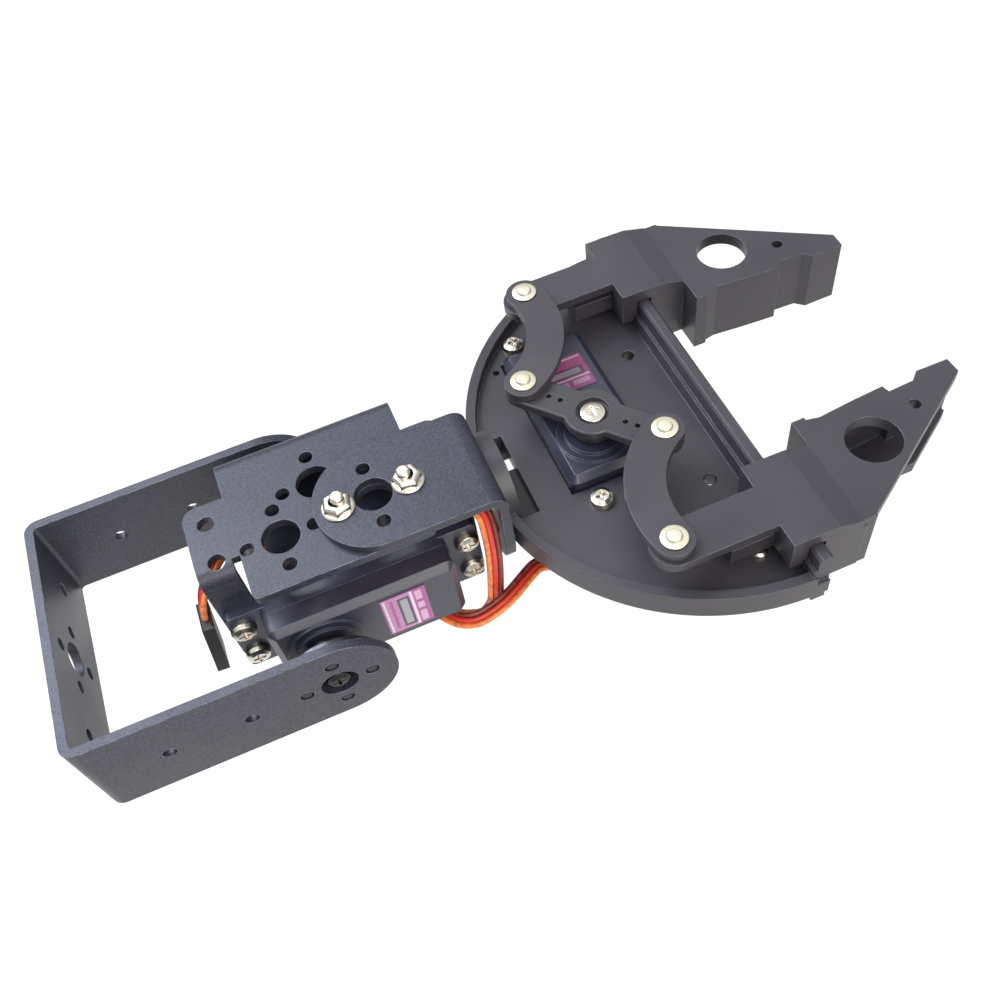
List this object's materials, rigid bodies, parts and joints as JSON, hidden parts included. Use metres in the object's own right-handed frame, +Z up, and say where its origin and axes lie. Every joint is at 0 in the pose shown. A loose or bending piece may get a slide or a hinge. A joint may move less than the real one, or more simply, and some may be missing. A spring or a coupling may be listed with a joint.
{
  "type": "two-jaw servo robot gripper with wrist bracket",
  "caption": "Parallel-jaw robot gripper driven by a servo through a horn and curved links, on a servo wrist held in a U bracket.",
  "frame": {"origin": "centre of the hole group on the rear face of the U bracket's web", "axes": "+X from the wrist to the fingertips, +Y to the left jaw, +Z up through the gripper's horn axis"},
  "size_m": [0.1953, 0.1034, 0.0541],
  "materials": {
    "bracket_metal": "dark anodised, satin",
    "disc_metal": "dark anodised, satin",
    "screw_steel": "nickel plated, bright",
    "bearing_steel": "ground",
    "servo_plastic": "fine-grained moulding",
    "motor_can": "drawn can",
    "gear_brass": "cut",
    "sensor_body": "stamped",
    "board_laminate": "laminate",
    "label_film": "printed film, no words",
    "gripper_plastic": "satin moulding",
    "link_plastic": "satin moulding",
    "rivet_brass": "pale plated",
    "lead_cover": "three wires side by side, soft and slightly shiny",
    "plug_plastic": "moulded"
  },
  "bodies": {
    "wrist_frame": {"u_bracket": "bracket_metal", "wrist_disc": "disc_metal", "disc_screws": "screw_steel", "wrist_horn_screw": "screw_steel", "wrist_output_shaft": "bearing_steel", "pivot_bearing_outer": "bearing_steel"},
    "hand": {"pivot_bearing_inner": "bearing_steel", "pivot_screw": "screw_steel", "pivot_nuts": "screw_steel", "pivot_spacer": "bearing_steel", "multi_bracket": "bracket_metal", "l_bracket": "bracket_metal", "bracket_screws": "screw_steel", "bracket_nuts": "screw_steel", "flange_screws": "screw_steel", "flange_nuts": "screw_steel", "case_screws": "screw_steel", "servo_labels": "label_film", "gripper_base": "gripper_plastic", "base_screws": "screw_steel", "wrist_servo_cover": "servo_plastic", "wrist_servo_case": "servo_plastic", "wrist_servo_base": "servo_plastic", "wrist_motor": "motor_can", "wrist_first_gear": "gear_brass", "wrist_second_gear": "gear_brass", "wrist_third_gear": "gear_brass", "wrist_shaft_bearing": "bearing_steel", "wrist_sensor": "sensor_body", "wrist_board": "board_laminate", "gripper_servo_cover": "servo_plastic", "gripper_servo_case": "servo_plastic", "gripper_servo_base": "servo_plastic", "gripper_motor": "motor_can", "gripper_first_gear": "gear_brass", "gripper_second_gear": "gear_brass", "gripper_third_gear": "gear_brass", "gripper_shaft_bearing": "bearing_steel", "gripper_sensor": "sensor_body", "gripper_board": "board_laminate", "gripper_lead": "lead_cover", "gripper_plug": "plug_plastic", "gripper_grommet": "plug_plastic"},
    "horn": {"gripper_output_shaft": "bearing_steel", "gripper_horn": "link_plastic", "horn_screw": "screw_steel"},
    "left_jaw": {"left_jaw": "gripper_plastic", "left_jaw_rivet": "rivet_brass"},
    "right_jaw": {"right_jaw": "gripper_plastic", "right_jaw_rivet": "rivet_brass"},
    "left_link": {"left_link": "link_plastic", "left_link_rivet": "rivet_brass"},
    "right_link": {"right_link": "link_plastic", "right_link_rivet": "rivet_brass"}
  },
  "joints": [
    {"name": "wrist_pitch", "type": "hinge", "parent": "wrist_frame", "child": "hand", "pos_m": [0.0526, 0, 0], "axis": [0, 1, 0], "range_deg": [-90, 90]},
    {"name": "horn_turn", "type": "hinge", "parent": "hand", "child": "horn", "pos_m": [0.1222, -0.002, 0.0069], "axis": [0, 0, 1], "range_deg": [-9.18, 60]},
    {"name": "left_jaw_slide", "type": "slide", "parent": "hand", "child": "left_jaw", "axis": [0, 1, 0], "range_m": [-0.0196, 0.003]},
    {"name": "right_jaw_slide", "type": "slide", "parent": "hand", "child": "right_jaw", "axis": [0, -1, 0], "range_m": [-0.0196, 0.003]},
    {"name": "left_link_turn", "type": "hinge", "parent": "left_jaw", "child": "left_link", "pos_m": [0.1222, 0.0352, 0.0169], "axis": [0, 0, 1], "range_deg": [-18, 2.8]},
    {"name": "right_link_turn", "type": "hinge", "parent": "right_jaw", "child": "right_link", "pos_m": [0.1222, -0.0392, 0.0169], "axis": [0, 0, 1], "range_deg": [-18, 2.8]}
  ],
  "couplings": [
    {"joint": "left_jaw_slide", "follows": "horn_turn", "m_per_rad": -0.018692},
    {"joint": "right_jaw_slide", "follows": "horn_turn", "m_per_rad": -0.018692},
    {"joint": "left_link_turn", "follows": "horn_turn", "ratio": -0.29907},
    {"joint": "right_link_turn", "follows": "horn_turn", "ratio": -0.29907}
  ]
}
